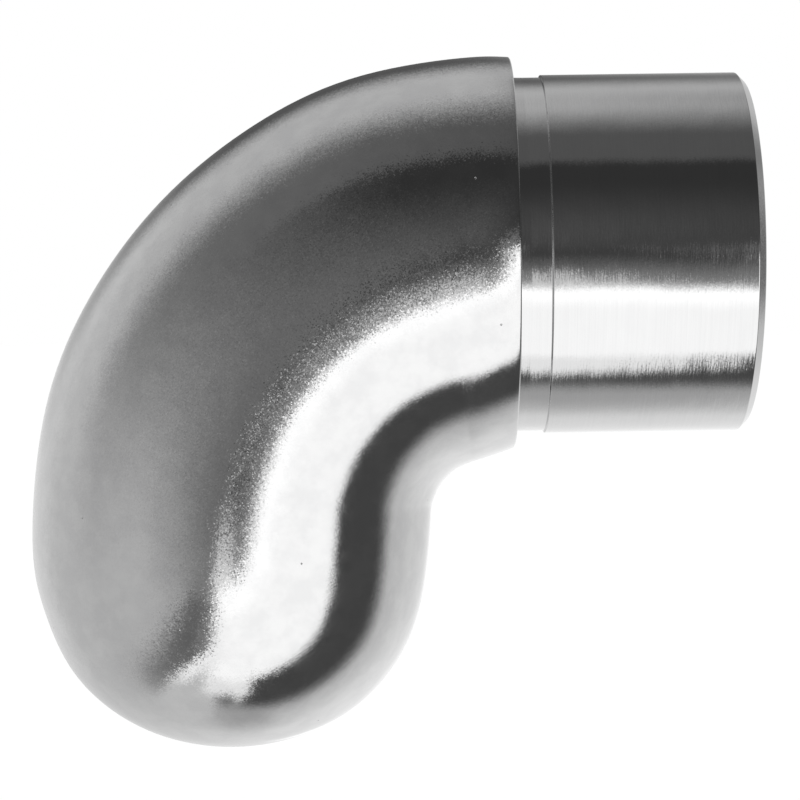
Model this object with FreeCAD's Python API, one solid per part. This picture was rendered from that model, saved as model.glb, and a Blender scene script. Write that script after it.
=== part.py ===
import FreeCAD, Part
import math
import os

# Handrail end return: one investment casting in stainless steel that finishes
# the open end of a round rail tube. A turned spigot pushes into the tube, and
# the body carries the tube's outside round a bend to a closed, domed end.
# The origin is the centre of the shoulder that the tube's end butts against.
# +X runs along the spigot into the tube, +Z is up, and the bend turns down
# in the XZ plane, which is the part's plane of symmetry. Sizes are in mm.

V = FreeCAD.Vector

# The rail tube
rail_diameter = 42.4
rail_wall = 2.0

# The turned spigot
spigot_clearance = 0.05        # radial room between the spigot and the tube
spigot_length = 24.7           # from the shoulder to the spigot's end face
relief_length = 3.05           # undercut beside the shoulder, for the tube's burr
relief_depth = 0.25
lead_chamfer = 0.8             # 45 degree lead-in that enters the tube
mouth_chamfer = 0.5            # broken edge round the core's mouth

# The cast body
bend_setback = 2.87            # from the shoulder back to the bend's pivot
bend_radius = 28.0             # from the pivot to the rail's axis
bend_angle = 88.9              # degrees turned before the dome begins
back_flat = 0.47               # dressed off the back, halfway round the bend
leg_dressing = 0.29            # dressed off the back, by the bend's end
throat_radius = 6.1            # inside of the bend, from the pivot
throat_slope = 16.6            # degrees at which the throat side meets the rail's line
shoulder_round = 0.45          # rounding of the shoulder's outer edge
dome_height = 24.98            # from the end of the bend to the tip
dome_fullness = 3.06           # 2 is an ellipse, more is squarer
dome_taper = 4.2               # degrees that each side of the leg draws in
taper_ease = 4.0               # depth over which the leg's taper sets in

# The core that leaves the casting hollow
spigot_wall = 4.0              # metal left round the core in the spigot

# How finely the skin follows the bend and the dome
bend_sections = 6
dome_sections = 6

rail_radius = rail_diameter / 2
spigot_radius = rail_radius - rail_wall - spigot_clearance
core_radius = spigot_radius - spigot_wall
pivot = V(-bend_setback, 0, -bend_radius)
slope = math.radians(throat_slope)
lean = math.radians(bend_angle)


def from_pivot(turn, distance):
    """Point in the plane of symmetry, at an angle turned back from straight up."""
    return pivot + V(-math.sin(turn), 0, math.cos(turn)) * distance


def shoulder_section():
    """Section at the shoulder: its top, its bottom and its half width."""
    touch = from_pivot(slope, throat_radius)
    return V(0, 0, rail_radius), V(0, 0, touch.z - touch.x * math.tan(slope)), rail_radius


def bend_section(step):
    """Section on a ray from the pivot, some steps round the bend."""
    share = step / bend_sections
    turn = lean * share
    dressed = back_flat * math.sin(math.pi * share) ** 2 + leg_dressing * share ** 2
    throat = throat_radius / math.cos(max(slope - turn, 0))
    return from_pivot(turn, bend_radius + rail_radius - dressed), from_pivot(turn, throat), rail_radius


def dome_section(step):
    """Section across the leg below the bend. The last one shrinks to the tip."""
    outer, throat, half_width = bend_section(bend_sections)
    swing = math.pi / 2 * step / dome_sections
    depth = dome_height * math.sin(swing) ** (2 / dome_fullness)
    drawn_in = math.tan(math.radians(dome_taper)) * depth ** 2 / (depth + taper_ease)
    shrink = math.cos(swing) * (1 - drawn_in / rail_radius)
    centre = (outer + throat) / 2 + V(-math.cos(lean), 0, -math.sin(lean)) * depth
    half = (outer - throat) / 2 * shrink
    return centre + half, centre - half, half_width * shrink


def guide(points, stations, first, last):
    """Smooth curve through the points, with its two end directions given."""
    curve = Part.BSplineCurve()
    curve.interpolate(Points=points, Parameters=stations, InitialTangent=first, FinalTangent=last, Scale=False)
    return curve


def ring(high, low, half_width):
    """Control points of an ellipse, from its top, its bottom and its half width."""
    centre = (high + low) / 2
    half = (high - low) / 2
    side = V(0, half_width, 0)
    corners = [(1, 0), (1, -1), (0, -1), (-1, -1), (-1, 0), (-1, 1), (0, 1), (1, 1), (1, 0)]
    return [centre + half * a + side * b for a, b in corners]


def skin():
    """Outside of the bend and the dome: elliptical sections hung between two guides."""
    sections = [shoulder_section()]
    sections += [bend_section(step) for step in range(bend_sections + 1)]
    sections += [dome_section(step) for step in range(1, dome_sections)]
    high, low, _ = dome_section(dome_sections)
    sections.append(((high + low) / 2, (high + low) / 2, 0.0))

    stations = [0.0]
    for before, after in zip(sections, sections[1:]):
        step = ((after[0] - before[0]).Length + (after[1] - before[1]).Length) / 2
        stations.append(stations[-1] + step)

    across = V(math.sin(lean), 0, -math.cos(lean))
    outer, throat, _ = bend_section(bend_sections)
    width_ratio = rail_diameter / (outer - throat).Length
    high = guide([s[0] for s in sections], stations, V(-1, 0, 0), across)
    low = guide([s[1] for s in sections], stations, V(-1, 0, -math.tan(slope)), -across)
    widths = [V(at, s[2], 0) for at, s in zip(stations, sections)]
    width = guide(widths, stations, V(1, 0, 0), V(1, -width_ratio, 0))
    rings = [ring(a, b, w.y) for a, b, w in zip(high.getPoles(), low.getPoles(), width.getPoles())]

    corner = math.sqrt(0.5)
    around = [1, corner, 1, corner, 1, corner, 1, corner, 1]
    surface = Part.BSplineSurface()
    surface.buildFromPolesMultsKnots(
        rings, high.getMultiplicities(), [3, 2, 2, 2, 3], high.getKnots(),
        [0.0, 0.25, 0.5, 0.75, 1.0], False, False, 3, 2, [around] * len(rings))
    return surface.toShape()


def shoulder_edges(shape):
    return [e for e in shape.Edges if abs(e.BoundBox.XMax) < 1e-6 and abs(e.BoundBox.XMin) < 1e-6]


def cast_body():
    """Bend and dome as one solid, closed by the flat shoulder with its edge rounded."""
    outside = skin()
    shoulder = Part.Face(Part.Wire(shoulder_edges(outside))).reversed()
    body = Part.Solid(Part.Shell([outside, shoulder]))
    return body.makeFillet(shoulder_round, shoulder_edges(body))


def turned_spigot():
    """Spigot with its relief, ramp, land and lead-in, turned about the X axis."""
    relief_radius = spigot_radius - relief_depth
    outline = [
        V(-bend_setback, 0, 0),
        V(-bend_setback, 0, relief_radius),
        V(relief_length, 0, relief_radius),
        V(relief_length + relief_depth, 0, spigot_radius),
        V(spigot_length - lead_chamfer, 0, spigot_radius),
        V(spigot_length, 0, spigot_radius - lead_chamfer),
        V(spigot_length, 0, 0),
    ]
    face = Part.Face(Part.makePolygon(outline + outline[:1]))
    return face.revolve(V(0, 0, 0), V(1, 0, 0), 360)


def core():
    """Space left by the core: straight through the spigot, round the bend, round end."""
    length = spigot_length + bend_setback
    straight = Part.makeCylinder(core_radius, length, V(-bend_setback, 0, 0), V(1, 0, 0))
    flare = Part.makeCone(core_radius, core_radius + mouth_chamfer, mouth_chamfer,
                          V(spigot_length - mouth_chamfer, 0, 0), V(1, 0, 0))
    start = Part.Face(Part.Wire(Part.makeCircle(core_radius, V(-bend_setback, 0, 0), V(1, 0, 0))))
    curved = start.revolve(pivot, V(0, -1, 0), bend_angle)
    rounded = Part.makeSphere(core_radius, from_pivot(lean, bend_radius))
    return straight.fuse([flare, curved, rounded])


def end_return():
    return cast_body().fuse(turned_spigot()).cut(core()).removeSplitter()


os.makedirs("parts", exist_ok=True)
part = end_return()
part.exportStep("parts/end_return.step")
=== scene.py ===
import math

import bpy
import numpy as np
from mathutils import Matrix, Vector


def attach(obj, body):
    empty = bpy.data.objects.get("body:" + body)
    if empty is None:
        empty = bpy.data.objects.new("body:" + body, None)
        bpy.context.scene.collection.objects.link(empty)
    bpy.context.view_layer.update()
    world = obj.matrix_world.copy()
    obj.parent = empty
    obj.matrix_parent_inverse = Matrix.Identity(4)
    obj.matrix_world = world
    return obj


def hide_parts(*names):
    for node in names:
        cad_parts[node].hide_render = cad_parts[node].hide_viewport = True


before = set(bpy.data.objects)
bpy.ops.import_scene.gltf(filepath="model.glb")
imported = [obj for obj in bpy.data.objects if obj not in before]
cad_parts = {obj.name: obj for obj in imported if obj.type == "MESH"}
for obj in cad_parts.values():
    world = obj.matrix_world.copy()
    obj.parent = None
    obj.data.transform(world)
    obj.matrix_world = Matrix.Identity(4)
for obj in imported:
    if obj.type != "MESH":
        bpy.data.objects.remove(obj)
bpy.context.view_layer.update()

# Handrail end return: a satin polished stainless casting with a turned spigot.
# Sizes in this part of the script are in millimetres, as in the CAD model.
MM = 0.001

rail_radius = 21.2
core_radius = 15.15

# The turned spigot
relief_radius = 18.9
spigot_radius = 19.15
spigot_length = 24.7
relief_length = 3.05
relief_depth = 0.25
ramp_start = 0.13              # how far past the relief its ramp begins
lead_chamfer = 0.8
mouth_chamfer = 0.5
root_taper = 0.03              # the relief rises by this beside the shoulder
root_length = 1.1              # over this length
corner_sizes = (0.1, 0.1, 0.08, 0.05, 0.03, 0.03, 0.05, 0.05)
corner_hold = 1.8              # a point is kept this many corner sizes away

# The cast body
bend_setback = 2.87
bend_radius = 28.0
bend_turn = math.radians(88.9)
back_flat = 0.47
leg_dressing = 0.29
throat_radius = 6.1
throat_slope = math.radians(16.6)
shoulder_round = 0.2
polish_fall = 0.27             # the belt's fall at the shoulder's edge, at the sides
polish_share = 0.35            # how much of it there is at the top and the throat
polish_reach = 3.8             # how far from the edge it begins
dome_height = 24.98
dome_fullness = 3.06
dome_taper = math.radians(4.2)
taper_ease = 4.0
guide_steps = 6                # sections of the bend, and of the dome, that guide the skin

# How finely the rings follow the form
ring_points = 160
skin_step = 0.8                # from ring to ring along the skin
shoulder_steps = 6             # rings round the shoulder's edge
polish_steps = 9               # rings over the belt's fall
core_end_steps = 16            # rings of the core's round end
core_bend_steps = 36           # rings of the core round the bend

facet_scale = 8.5              # facets of the open grain per millimetre

pivot = np.array([-bend_setback, -bend_radius])
down_the_leg = np.array([-math.cos(bend_turn), -math.sin(bend_turn)])


# ---------------------------------------------------------------- the casting's form

def from_pivot(turn, distance):
    """Point of the XZ plane, at an angle turned back from straight up."""
    return pivot + distance * np.array([-math.sin(turn), math.cos(turn)])


def bend_section(share):
    """Outer point, throat point and half width of the bend's section."""
    turn = bend_turn * share
    dressed = back_flat * math.sin(math.pi * share) ** 2 + leg_dressing * share ** 2
    throat = throat_radius / math.cos(max(throat_slope - turn, 0))
    return from_pivot(turn, bend_radius + rail_radius - dressed), from_pivot(turn, throat), rail_radius


def dome_section(share):
    """The same across the domed leg, which closes to its tip."""
    outer, throat, wide = bend_section(1)
    swing = math.pi / 2 * share
    depth = dome_height * math.sin(swing) ** (2 / dome_fullness)
    drawn_in = math.tan(dome_taper) * depth ** 2 / (depth + taper_ease)
    shrink = math.cos(swing) * (1 - drawn_in / rail_radius)
    centre = (outer + throat) / 2 + down_the_leg * depth
    half = (outer - throat) / 2 * shrink
    return centre + half, centre - half, wide * shrink


def smooth_curve(stations, values, first, last):
    """Cubic curve through the values, with the slopes at its two ends given."""
    values = np.array(values, float).reshape(len(stations), -1)
    gaps = np.diff(stations)
    rises = np.diff(values, axis=0) / gaps[:, None]
    system = np.eye(len(stations))
    slopes = np.zeros_like(values)
    slopes[0] = first
    slopes[-1] = last
    for i in range(1, len(stations) - 1):
        system[i, i - 1:i + 2] = gaps[i], 2 * (gaps[i - 1] + gaps[i]), gaps[i - 1]
        slopes[i] = 3 * (gaps[i] * rises[i - 1] + gaps[i - 1] * rises[i])
    slopes = np.linalg.solve(system, slopes)

    def at(station):
        i = int(np.clip(np.searchsorted(stations, station) - 1, 0, len(gaps) - 1))
        t = (station - stations[i]) / gaps[i]
        bend_in = gaps[i] * t * (1 - t) ** 2 * slopes[i] - gaps[i] * t ** 2 * (1 - t) * slopes[i + 1]
        ease = t * t * (3 - 2 * t)
        return values[i] * (1 - ease) + values[i + 1] * ease + bend_in

    return at


def skin_rings():
    """Rings of the casting's outside, from the shoulder's rounded edge to the tip."""
    touch = from_pivot(throat_slope, throat_radius)
    low = np.array([0, touch[1] - touch[0] * math.tan(throat_slope)])
    sections = [(np.array([0, rail_radius]), low, rail_radius)]
    sections += [bend_section(k / guide_steps) for k in range(guide_steps + 1)]
    sections += [dome_section(k / guide_steps) for k in range(1, guide_steps + 1)]
    stations = [0.0]
    for a, b in zip(sections, sections[1:]):
        stations.append(stations[-1] + (math.dist(a[0], b[0]) + math.dist(a[1], b[1])) / 2)
    across = np.array([math.sin(bend_turn), -math.cos(bend_turn)])
    outer, throat, wide = bend_section(1)
    outer_line = smooth_curve(stations, [s[0] for s in sections], (-1, 0), across)
    throat_line = smooth_curve(stations, [s[1] for s in sections], (-1, -math.tan(throat_slope)), -across)
    width_line = smooth_curve(stations, [s[2] for s in sections], 0, -2 * wide / math.dist(outer, throat))

    def ring(station, inset=0.0):
        polished = polish_fall * max(1 - station / polish_reach, 0) ** 2
        high = outer_line(station)
        low = throat_line(station)
        half = (high - low) / 2
        reach = np.linalg.norm(half)
        turn = math.atan2(-half[0], half[1]) if reach > 1e-6 else bend_turn
        reach = reach - inset - polished * polish_share
        return (high + low) / 2, turn, reach, width_line(station)[0] - inset - polished

    rings = []
    for k in range(1, shoulder_steps + 1):
        swing = math.pi / (2 * shoulder_steps) * k
        rings.append(ring(shoulder_round * (1 - math.cos(swing)), shoulder_round * (1 - math.sin(swing))))
    near_edge = np.linspace(shoulder_round, polish_reach, polish_steps + 1)[1:]
    count = round((stations[-1] - polish_reach) / skin_step)
    for station in [*near_edge, *np.linspace(polish_reach, stations[-1], count + 1)[1:]]:
        rings.append(ring(station))
    return rings


def eased_corners(corners, sizes):
    """Profile with each corner rounded, and a point kept close on both sides of it."""
    points = [np.array(corners[0], float)]
    for before, corner, after, size in zip(corners, corners[1:], corners[2:], sizes):
        corner = np.array(corner, float)
        come = (np.array(before) - corner) / math.dist(before, corner)
        leave = (np.array(after) - corner) / math.dist(after, corner)
        points.append(corner + come * size * corner_hold)
        for t in (0, 0.25, 0.5, 0.75, 1):
            points.append(corner + come * size * (1 - t) ** 2 + leave * size * t ** 2)
        points.append(corner + leave * size * corner_hold)
    points.append(np.array(corners[-1], float))
    return points


def turned_rings():
    """Rings from the core's straight bore, over the spigot, to the shoulder's edge."""
    corners = [
        (-bend_setback, core_radius),
        (spigot_length - mouth_chamfer, core_radius),
        (spigot_length, core_radius + mouth_chamfer),
        (spigot_length, spigot_radius - lead_chamfer),
        (spigot_length - lead_chamfer, spigot_radius),
        (relief_length + relief_depth, spigot_radius),
        (relief_length + ramp_start, relief_radius),
        (root_length, relief_radius),
        (0, relief_radius + root_taper),
        (0, rail_radius - shoulder_round),
    ]
    profile = eased_corners(corners, corner_sizes)
    return [(np.array([x, 0]), 0.0, radius, radius) for x, radius in profile[1:-1]]


def core_rings():
    """Rings of the blind core, from its round end round the bend to the bore."""
    end = from_pivot(bend_turn, bend_radius)
    rings = []
    for swing in np.linspace(math.pi / 2, 0, core_end_steps + 1)[1:]:
        radius = core_radius * math.cos(swing)
        rings.append((end + down_the_leg * core_radius * math.sin(swing), bend_turn, radius, radius))
    for turn in np.linspace(bend_turn, 0, core_bend_steps + 1)[1:]:
        rings.append((from_pivot(turn, bend_radius), turn, core_radius, core_radius))
    return rings


def in_metres(point):
    return Vector((point[0] * MM, 0, point[1] * MM))


def carry_edge(last, following):
    """Extrudes the selected ring on to the next one: moved, turned and resized."""
    centre, turn, reach, wide = following
    move = in_metres(centre) - in_metres(last[0])
    bpy.ops.mesh.extrude_edges_move(TRANSFORM_OT_translate={"value": move})
    centre = in_metres(centre)
    if abs(turn - last[1]) > 1e-9:
        bpy.ops.transform.rotate(value=turn - last[1], orient_axis="Y", center_override=centre)
    across = (math.cos(turn), 0, math.sin(turn))
    up = (-math.sin(turn), 0, math.cos(turn))
    bpy.ops.transform.resize(
        value=(1, wide / last[3], reach / last[2]), center_override=centre,
        orient_type="GLOBAL", orient_matrix=(across, (0, 1, 0), up), orient_matrix_type="GLOBAL",
        constraint_axis=(False, True, True))


def cast_end_return():
    """One closed shell: core, spigot, shoulder, bend and dome, ring after ring."""
    rings = core_rings() + turned_rings() + skin_rings()
    tip = rings.pop()
    centre, turn, reach, wide = rings[0]
    bpy.ops.object.select_all(action="DESELECT")
    bpy.ops.mesh.primitive_circle_add(
        vertices=ring_points, radius=reach * MM, fill_type="TRIFAN", location=in_metres(centre),
        rotation=(0, math.pi / 2 - turn, 0))
    casting = bpy.context.object
    casting.name = "end_return_casting"
    bpy.ops.object.transform_apply(location=True, rotation=True, scale=True)
    bpy.ops.object.mode_set(mode="EDIT")
    bpy.ops.mesh.select_mode(type="EDGE")
    bpy.ops.mesh.select_all(action="SELECT")
    bpy.ops.mesh.region_to_loop()
    for last, following in zip(rings, rings[1:]):
        carry_edge(last, following)
    move = in_metres(tip[0]) - in_metres(rings[-1][0])
    bpy.ops.mesh.extrude_edges_move(TRANSFORM_OT_translate={"value": move})
    bpy.ops.mesh.merge(type="CENTER")
    bpy.ops.mesh.select_all(action="SELECT")
    bpy.ops.mesh.normals_make_consistent(inside=False)
    bpy.ops.object.mode_set(mode="OBJECT")
    bpy.ops.object.shade_smooth()
    return casting


casting = cast_end_return()


# ---------------------------------------------------------------- shader wiring

def feed(tree, socket, value):
    """Joins a socket to another node's output, or sets it to a plain value."""
    if isinstance(value, bpy.types.NodeSocket):
        tree.links.new(value, socket)
    else:
        socket.default_value = value


def calc(tree, operation, *values):
    """One step of arithmetic."""
    step = tree.nodes.new("ShaderNodeMath")
    step.operation = operation
    for socket, value in zip(step.inputs, values):
        feed(tree, socket, value)
    return step.outputs[0]


def vector_calc(tree, operation, *values, scale=None):
    """One step of arithmetic on vectors."""
    step = tree.nodes.new("ShaderNodeVectorMath")
    step.operation = operation
    for socket, value in zip(step.inputs, values):
        feed(tree, socket, value)
    if scale is not None:
        feed(tree, step.inputs["Scale"], scale)
    return step.outputs[0]


def hypotenuse(tree, a, b):
    """Root of the sum of two squares."""
    squares = calc(tree, "ADD", calc(tree, "MULTIPLY", a, a), calc(tree, "MULTIPLY", b, b))
    return calc(tree, "SQRT", squares)


def spread(tree, value, start, end, low=0.0, high=1.0):
    """Smooth step of the value between start and end, from low to high."""
    step = tree.nodes.new("ShaderNodeMapRange")
    step.interpolation_type = "SMOOTHSTEP"
    for socket, number in zip(step.inputs, (value, start, end, low, high)):
        feed(tree, socket, number)
    return step.outputs[0]


def window(tree, value, opens, whole, closes, gone):
    """1 from whole to closes, and 0 before opens and after gone."""
    rise = spread(tree, value, opens, whole)
    return calc(tree, "MULTIPLY", rise, spread(tree, value, closes, gone, 1.0, 0.0))


def grain(tree, vector, scale, detail=2.0, roughness=0.5):
    """Noise of a given scale per millimetre, on a vector in millimetres."""
    noise = tree.nodes.new("ShaderNodeTexNoise")
    feed(tree, noise.inputs["Vector"], vector)
    noise.inputs["Scale"].default_value = scale
    noise.inputs["Detail"].default_value = detail
    noise.inputs["Roughness"].default_value = roughness
    return noise.outputs["Fac"]


def joined(tree, x, y, z):
    """Vector of three values."""
    vector = tree.nodes.new("ShaderNodeCombineXYZ")
    for socket, value in zip(vector.inputs, (x, y, z)):
        feed(tree, socket, value)
    return vector.outputs[0]


def place_on_part(tree):
    """Object coordinates in millimetres: the vector and its three parts."""
    where = tree.nodes.new("ShaderNodeTexCoord")
    place = vector_calc(tree, "SCALE", where.outputs["Object"], scale=1000.0)
    parts = tree.nodes.new("ShaderNodeSeparateXYZ")
    tree.links.new(place, parts.inputs[0])
    return place, *parts.outputs


def tinted(tree, share, dark, light):
    """Colour between two greys by a share from 0 to 1."""
    blend = tree.nodes.new("ShaderNodeMix")
    blend.data_type = "RGBA"
    feed(tree, blend.inputs["Factor"], share)
    blend.inputs["A"].default_value = (*dark, 1)
    blend.inputs["B"].default_value = (*light, 1)
    return blend.outputs["Result"]


def raised(tree, height, depth, below=None):
    """Bump of a given depth in metres over a height from 0 to 1."""
    bump = tree.nodes.new("ShaderNodeBump")
    bump.inputs["Distance"].default_value = depth
    feed(tree, bump.inputs["Height"], height)
    if below is not None:
        feed(tree, bump.inputs["Normal"], below)
    return bump.outputs[0]


def steel(name):
    """New metal material: its tree and its shader."""
    finish = bpy.data.materials.new(name)
    finish.use_nodes = True
    tree = finish.node_tree
    shader = tree.nodes["Principled BSDF"]
    shader.inputs["Metallic"].default_value = 1.0
    return finish, tree, shader


# ---------------------------------------------------------------- finishes

def cells(tree, vector, scale):
    """Distance to the nearest of many scattered points, and a random colour for each."""
    points = tree.nodes.new("ShaderNodeTexVoronoi")
    feed(tree, points.inputs["Vector"], vector)
    points.inputs["Scale"].default_value = scale
    return points.outputs["Distance"], points.outputs["Color"]


def facets(tree, vector, tilt, below):
    """Normal tilted by a random amount in each tiny cell: few cells tilt much, most hardly."""
    _, random = cells(tree, vector, facet_scale)
    lean = vector_calc(tree, "MULTIPLY_ADD", random, (2, 2, 2), (-1, -1, -1))
    lean = vector_calc(tree, "POWER", lean, (3, 3, 3))
    lean = vector_calc(tree, "SCALE", lean, scale=tilt)
    return vector_calc(tree, "NORMALIZE", vector_calc(tree, "ADD", below, lean))


def leaning(tree, below, x, z, along, up, lean):
    """Normal that leans a little inside a soft window. Along X and up Z its four marks say
    where it opens, is whole, closes and is gone."""
    share = calc(tree, "MULTIPLY", window(tree, x, *along), window(tree, z, *up))
    return vector_calc(tree, "MULTIPLY_ADD", share, lean, below)


def satin_polished_steel():
    """The casting's outside: belt polished, then satin, with a fine open grain."""
    finish, tree, shader = steel("satin_polished_steel")
    place, x, y, z = place_on_part(tree)
    ahead = calc(tree, "ADD", x, bend_setback)
    above = calc(tree, "ADD", z, bend_radius)
    cloud = spread(tree, grain(tree, place, scale=0.4, detail=3.0, roughness=0.55), 0.32, 0.68)
    fine = grain(tree, place, scale=4.5)
    pores, _ = cells(tree, place, 0.2)
    pore = spread(tree, pores, 0.014, 0.026, 1.0, 0.0)
    tone = calc(tree, "MULTIPLY_ADD", calc(tree, "SUBTRACT", fine, 0.5), 0.5, cloud)
    tone = calc(tree, "MULTIPLY", tone, calc(tree, "SUBTRACT", 1.0, pore))
    feed(tree, shader.inputs["Base Color"], tinted(tree, tone, (0.572, 0.572, 0.574), (0.62, 0.62, 0.62)))
    rough = calc(tree, "MULTIPLY_ADD", cloud, 0.03, 0.065)
    rough = calc(tree, "MULTIPLY_ADD", fine, 0.05, rough)
    feed(tree, shader.inputs["Roughness"], calc(tree, "MULTIPLY_ADD", pore, 0.3, rough))
    # Polishing strokes run round the section, on planes through the bend's pivot
    turn = calc(tree, "ARCTAN2", ahead, above)
    round_section = joined(tree, calc(tree, "MULTIPLY", turn, 150.0), calc(tree, "MULTIPLY", y, 0.16), 0.0)
    strokes = grain(tree, round_section, scale=1.0)
    ripple = grain(tree, place, scale=0.3)
    normal = raised(tree, ripple, depth=1.8e-5)
    normal = raised(tree, strokes, depth=2.2e-6, below=normal)
    normal = raised(tree, fine, depth=2e-6, below=normal)
    normal = raised(tree, pore, depth=-5e-5, below=normal)
    # The belt left the leg and the shoulder a little off their ellipse
    normal = leaning(
        tree, normal, x, z, along=(-34, -29, -26, -19), up=(-43, -37, -27, -20), lean=(0.018, 0, -0.02))
    normal = leaning(
        tree, normal, x, z, along=(-10, -4, 5, 6), up=(-11, -7, -1, 3), lean=(0.009, 0, -0.03))
    # The throat and the dome are buffed smoother than the back
    from_throat = hypotenuse(tree, calc(tree, "SUBTRACT", x, 2.0), calc(tree, "ADD", z, 34.0))
    open_grain = spread(tree, from_throat, 26, 33, 0.01, 0.052)
    open_grain = calc(tree, "MULTIPLY", open_grain, spread(tree, z, -47, -40, 0.3, 1.0))
    feed(tree, shader.inputs["Normal"], facets(tree, place, tilt=open_grain, below=normal))
    return finish


def turned_steel():
    """The spigot, its end face and the shoulder: fine lathe lines round the axis."""
    finish, tree, shader = steel("turned_steel")
    place, x, y, z = place_on_part(tree)
    radius = hypotenuse(tree, y, z)
    along = calc(tree, "ADD", x, radius)
    side = calc(tree, "DIVIDE", y, radius)
    top = calc(tree, "DIVIDE", z, radius)

    def lathe_marks(per_mm, round_axis, seed, detail=2.0):
        """Noise drawn out round the axis, by its scales along the part and round it. The seed
        takes it from another stretch of the noise."""
        where = joined(
            tree, calc(tree, "MULTIPLY_ADD", along, per_mm, seed),
            calc(tree, "MULTIPLY", side, round_axis), calc(tree, "MULTIPLY", top, round_axis))
        return grain(tree, where, scale=1.0, detail=detail)

    lines = lathe_marks(per_mm=7.0, round_axis=1.2, seed=0.0, detail=3.0)
    streaks = lathe_marks(per_mm=4.5, round_axis=15.0, seed=200.0)
    chatter = lathe_marks(per_mm=0.35, round_axis=5.0, seed=400.0, detail=1.0)
    fine = grain(tree, place, scale=4.5)
    cloud = grain(tree, place, scale=0.25, detail=3.0)
    tone = calc(tree, "MULTIPLY_ADD", calc(tree, "SUBTRACT", cloud, 0.5), 0.8, lines)
    feed(tree, shader.inputs["Base Color"], tinted(tree, tone, (0.575, 0.575, 0.577), (0.625, 0.625, 0.625)))
    feed(tree, shader.inputs["Roughness"], calc(tree, "MULTIPLY_ADD", cloud, 0.05, 0.045))
    shader.inputs["Anisotropic"].default_value = 0.4
    feed(tree, shader.inputs["Tangent"], joined(tree, 0.0, calc(tree, "MULTIPLY", z, -1.0), y))
    normal = raised(tree, chatter, depth=3e-5)
    normal = raised(tree, lines, depth=1.5e-6, below=normal)
    normal = raised(tree, streaks, depth=5e-6, below=normal)
    normal = raised(tree, fine, depth=1.5e-6, below=normal)
    # The spigot's free end is off its round by a hair
    normal = leaning(
        tree, normal, x, z, along=(8, 20, 30, 31), up=(-8, -5, 0, 4), lean=(0, 0, 0.028))
    feed(tree, shader.inputs["Normal"], facets(tree, place, tilt=0.012, below=normal))
    return finish


def as_cast_steel():
    """Inside of the casting, as the mould's core left it."""
    finish, tree, shader = steel("as_cast_steel")
    place, *_ = place_on_part(tree)
    skin = grain(tree, place, scale=1.6, detail=4.0, roughness=0.65)
    feed(tree, shader.inputs["Base Color"], tinted(tree, skin, (0.38, 0.375, 0.37), (0.50, 0.495, 0.49)))
    feed(tree, shader.inputs["Roughness"], spread(tree, skin, 0.3, 0.7, 0.62, 0.5))
    feed(tree, shader.inputs["Normal"], raised(tree, skin, depth=6e-5))
    return finish


def core_distance(centre):
    """How far a point in millimetres is from the middle line of the core."""
    x, y, z = centre
    if x > -bend_setback:
        return math.hypot(y, z)
    if z < -bend_radius + bend_radius * math.cos(bend_turn):
        end = from_pivot(bend_turn, bend_radius)
        return math.dist((x, y, z), (end[0], 0, end[1]))
    return math.hypot(math.hypot(x + bend_setback, z + bend_radius) - bend_radius, y)


def finish_casting():
    """Satin outside, turned spigot and shoulder, raw core."""
    for finish in (satin_polished_steel(), turned_steel(), as_cast_steel()):
        casting.data.materials.append(finish)
    turned, raw = 1, 2
    on_core = core_radius + 0.02
    shoulder = -0.001
    for face in casting.data.polygons:
        centre = face.center / MM
        if core_distance(centre) < on_core:
            face.material_index = raw
        elif centre.x > shoulder:
            face.material_index = turned


finish_casting()
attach(casting, "root")
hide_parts("end_return")


# ---------------------------------------------------------------- floor, light and camera

def pale_floor():
    """Plain pale floor well under the part. It is near white and keeps the shadow."""
    width, height = 6.0, -0.13
    grey, glow_for_camera = 0.5, 0.53
    bpy.ops.object.select_all(action="DESELECT")
    bpy.ops.mesh.primitive_plane_add(size=width, location=(0, 0, height))
    floor = bpy.context.object
    floor.name = "pale_floor"
    floor.visible_glossy = False
    paint = bpy.data.materials.new("pale_floor_paint")
    paint.use_nodes = True
    tree = paint.node_tree
    tree.nodes.remove(tree.nodes["Principled BSDF"])
    chalk = tree.nodes.new("ShaderNodeBsdfDiffuse")
    chalk.inputs["Color"].default_value = (grey, grey, grey, 1)
    glow = tree.nodes.new("ShaderNodeEmission")
    path = tree.nodes.new("ShaderNodeLightPath")
    strength = calc(tree, "MULTIPLY", path.outputs["Is Camera Ray"], glow_for_camera)
    feed(tree, glow.inputs["Strength"], strength)
    both = tree.nodes.new("ShaderNodeAddShader")
    tree.links.new(chalk.outputs[0], both.inputs[0])
    tree.links.new(glow.outputs[0], both.inputs[1])
    tree.links.new(both.outputs[0], tree.nodes["Material Output"].inputs["Surface"])
    floor.data.materials.append(paint)


def angle_of(tree, cosine):
    """Angle in degrees, from its cosine."""
    cosine = calc(tree, "MINIMUM", calc(tree, "MAXIMUM", cosine, -1.0), 1.0)
    return calc(tree, "DEGREES", calc(tree, "ARCCOSINE", cosine))


def off_from(tree, ray, direction):
    """Angle round the line of sight between a ray and a direction: 0 is right, 90 is up."""
    x, y, z = ray
    d = math.radians(direction)
    along = calc(tree, "ADD", calc(tree, "MULTIPLY", x, math.cos(d)), calc(tree, "MULTIPLY", z, math.sin(d)))
    reach = calc(tree, "MAXIMUM", hypotenuse(tree, x, z), 1e-4)
    return angle_of(tree, calc(tree, "DIVIDE", along, reach))


def toward(away, around):
    """Direction at an angle from the camera's side, and round the line of sight: 0 is right,
    90 is up."""
    a = math.radians(away)
    r = math.radians(around)
    return math.sin(a) * math.cos(r), -math.cos(a), math.sin(a) * math.sin(r)


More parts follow.
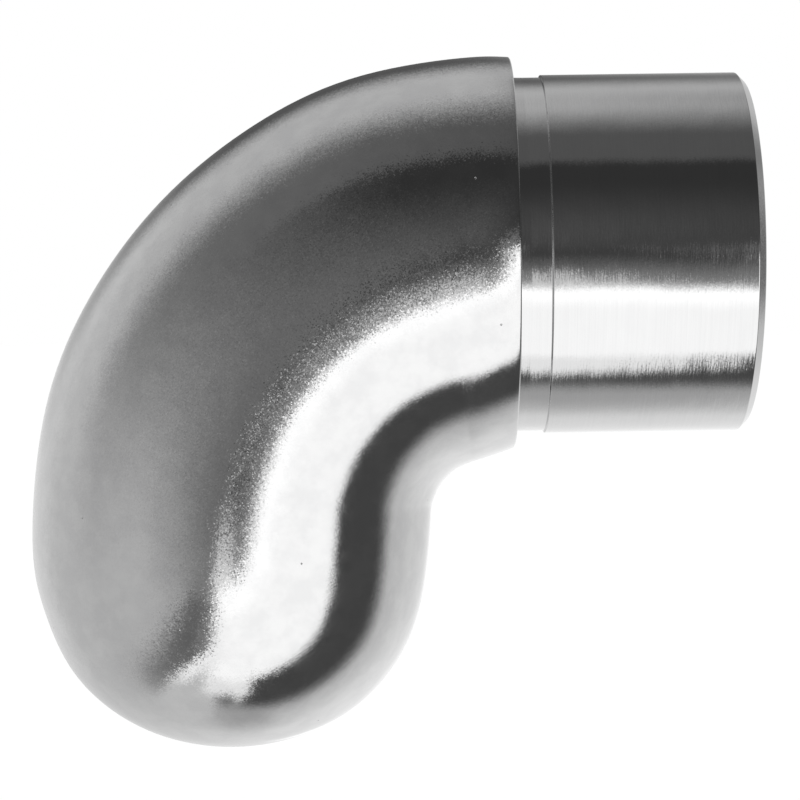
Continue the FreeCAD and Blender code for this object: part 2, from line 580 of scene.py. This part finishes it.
def angle_from(tree, ray, axis):
    """Angle between a ray and an axis."""
    terms = [calc(tree, "MULTIPLY", part, share) for part, share in zip(ray, axis)]
    return angle_of(tree, calc(tree, "ADD", calc(tree, "ADD", terms[0], terms[1]), terms[2]))


def laid_over(tree, under, level, share):
    """Level laid over another one, by a share from 0 to 1."""
    blend = tree.nodes.new("ShaderNodeMix")
    feed(tree, blend.inputs["Factor"], share)
    feed(tree, blend.inputs["A"], under)
    feed(tree, blend.inputs["B"], level)
    return blend.outputs["Result"]


def studio_light():
    """Soft studio: pale sweep behind, grey wall to the left, flag above, lamp low to the right."""
    world = bpy.data.worlds.new("studio")
    bpy.context.scene.world = world
    world.use_nodes = True
    tree = world.node_tree
    where = tree.nodes.new("ShaderNodeTexCoord")
    parts = tree.nodes.new("ShaderNodeSeparateXYZ")
    tree.links.new(where.outputs["Generated"], parts.inputs[0])
    ray = tuple(parts.outputs)
    straight = angle_from(tree, ray, toward(0, 0))

    def panel(under, level, direction, width, near, far=None, axis=(0, 0), side=None):
        """Soft panel: its level, its direction and half width round the line of sight
        (where it is whole, where it is gone), and how far from its axis it starts and
        ends (the middle of the edge, its softness). A side keeps only the half of the
        studio that faces that way."""
        away = angle_from(tree, ray, toward(*axis)) if any(axis) else straight
        share = spread(tree, off_from(tree, ray, direction), *width, 1.0, 0.0)
        middle, soft = near
        share = calc(tree, "MULTIPLY", share, spread(tree, away, middle - soft, middle + soft))
        if far:
            middle, soft = far
            share = calc(tree, "MULTIPLY", share, spread(tree, away, middle - soft, middle + soft, 1.0, 0.0))
        if side:
            facing = angle_from(tree, ray, toward(*side))
            share = calc(tree, "MULTIPLY", share, spread(tree, facing, 87, 93, 1.0, 0.0))
        return laid_over(tree, under, level, share)

    # Behind the part: the sweep, with a pale wall to the left, a paler foot, a dark ceiling
    # and a dim part to the right
    sweep = spread(tree, ray[2], 0.33, 0.56, 0.73, 0.66)
    sweep = panel(sweep, 0.86, 180, (25, 60), near=(126, 12))
    sweep = panel(sweep, 1.08, -58, (0, 77), near=(116, 17))
    sweep = panel(sweep, 0.11, 108, (14, 85), near=(139, 14))
    sweep = panel(sweep, 0.3, 48, (22, 45), near=(85, 8), far=(125, 12))

    # The camera's side: a dim room, with a black flag above, a grey wall to the left and a
    # dark gap beside it
    room = spread(tree, off_from(tree, ray, 19), 10, 139, 0.07, 0.205)
    room = panel(room, 0.045, 63, (36, 80), near=(26.5, 22), far=(60.5, 3.5))
    room = panel(room, 0.675, -155, (7, 73), near=(29, 28))
    room = panel(room, 0.18, -121, (1, 19), near=(27, 5), far=(86, 34))
    light = laid_over(tree, room, sweep, spread(tree, straight, 80, 110))

    # Low down: a grey foot with a thin bright edge, then a duller one and a bright board
    light = panel(light, 0.78, -108, (8, 14), near=(60, 8), far=(112, 14), side=(115, -38))
    light = panel(light, 1.5, -106, (6, 13), near=(84, 3), far=(90, 2), axis=(115, -38))
    light = panel(light, 0.52, -88, (3, 14), near=(92, 6), far=(116, 16))
    light = panel(light, 1.27, -92, (8, 14), near=(56, 5), far=(80, 5))

    # The black surround beyond the lamp, and the board where it shows in front of it
    light = panel(light, 0.085, -28, (50, 70), near=(64, 3), far=(93, 8), axis=(8, 0), side=(132, -8))
    light = panel(light, 1.27, -86, (2, 6), near=(49.5, 3.5), far=(68, 4), axis=(112, -46))

    # The soft lamp low to the right, the light spilt on its near side, and its bright rim
    light = panel(light, 0.27, -20, (45, 70), near=(10.5, 5), far=(24, 8))
    light = panel(light, 0.9, -90, (8, 30), near=(9.5, 4), far=(26, 5))
    light = panel(light, 1.53, -49, (46, 59), near=(13.8, 4.5), far=(61.2, 3.5), axis=(7, -76))
    light = panel(light, 1.8, -50, (36, 48), near=(22.5, 3), far=(29, 7))

    path = tree.nodes.new("ShaderNodeLightPath")
    plain = calc(tree, "MAXIMUM", path.outputs["Is Camera Ray"], path.outputs["Is Diffuse Ray"])
    background = tree.nodes["Background"]
    feed(tree, background.inputs["Strength"], laid_over(tree, light, 1.0, plain))
    background.inputs["Color"].default_value = (1, 1, 1, 1)


def camera_at_photo():
    """Camera in front of the part, a little above the spigot's axis, tipped slightly."""
    lens = bpy.data.cameras.new("camera")
    lens.sensor_width = 36.0
    lens.lens = 111.76
    lens.clip_start = 0.01
    camera = bpy.data.objects.new("camera", lens)
    bpy.context.scene.collection.objects.link(camera)
    level = Matrix.Rotation(math.radians(90), 4, "X")
    yaw = Matrix.Rotation(math.radians(-0.5), 4, "Z")
    pitch = Matrix.Rotation(math.radians(-3.694), 4, "X")
    roll = Matrix.Rotation(math.radians(0.859), 4, "Y")
    place = Matrix.Translation(Vector((-14.444, -267.299, 1.839)) * MM)
    camera.matrix_world = place @ yaw @ pitch @ roll @ level
    bpy.context.scene.camera = camera


pale_floor()
studio_light()
camera_at_photo()
bpy.context.scene.view_settings.view_transform = "Standard"
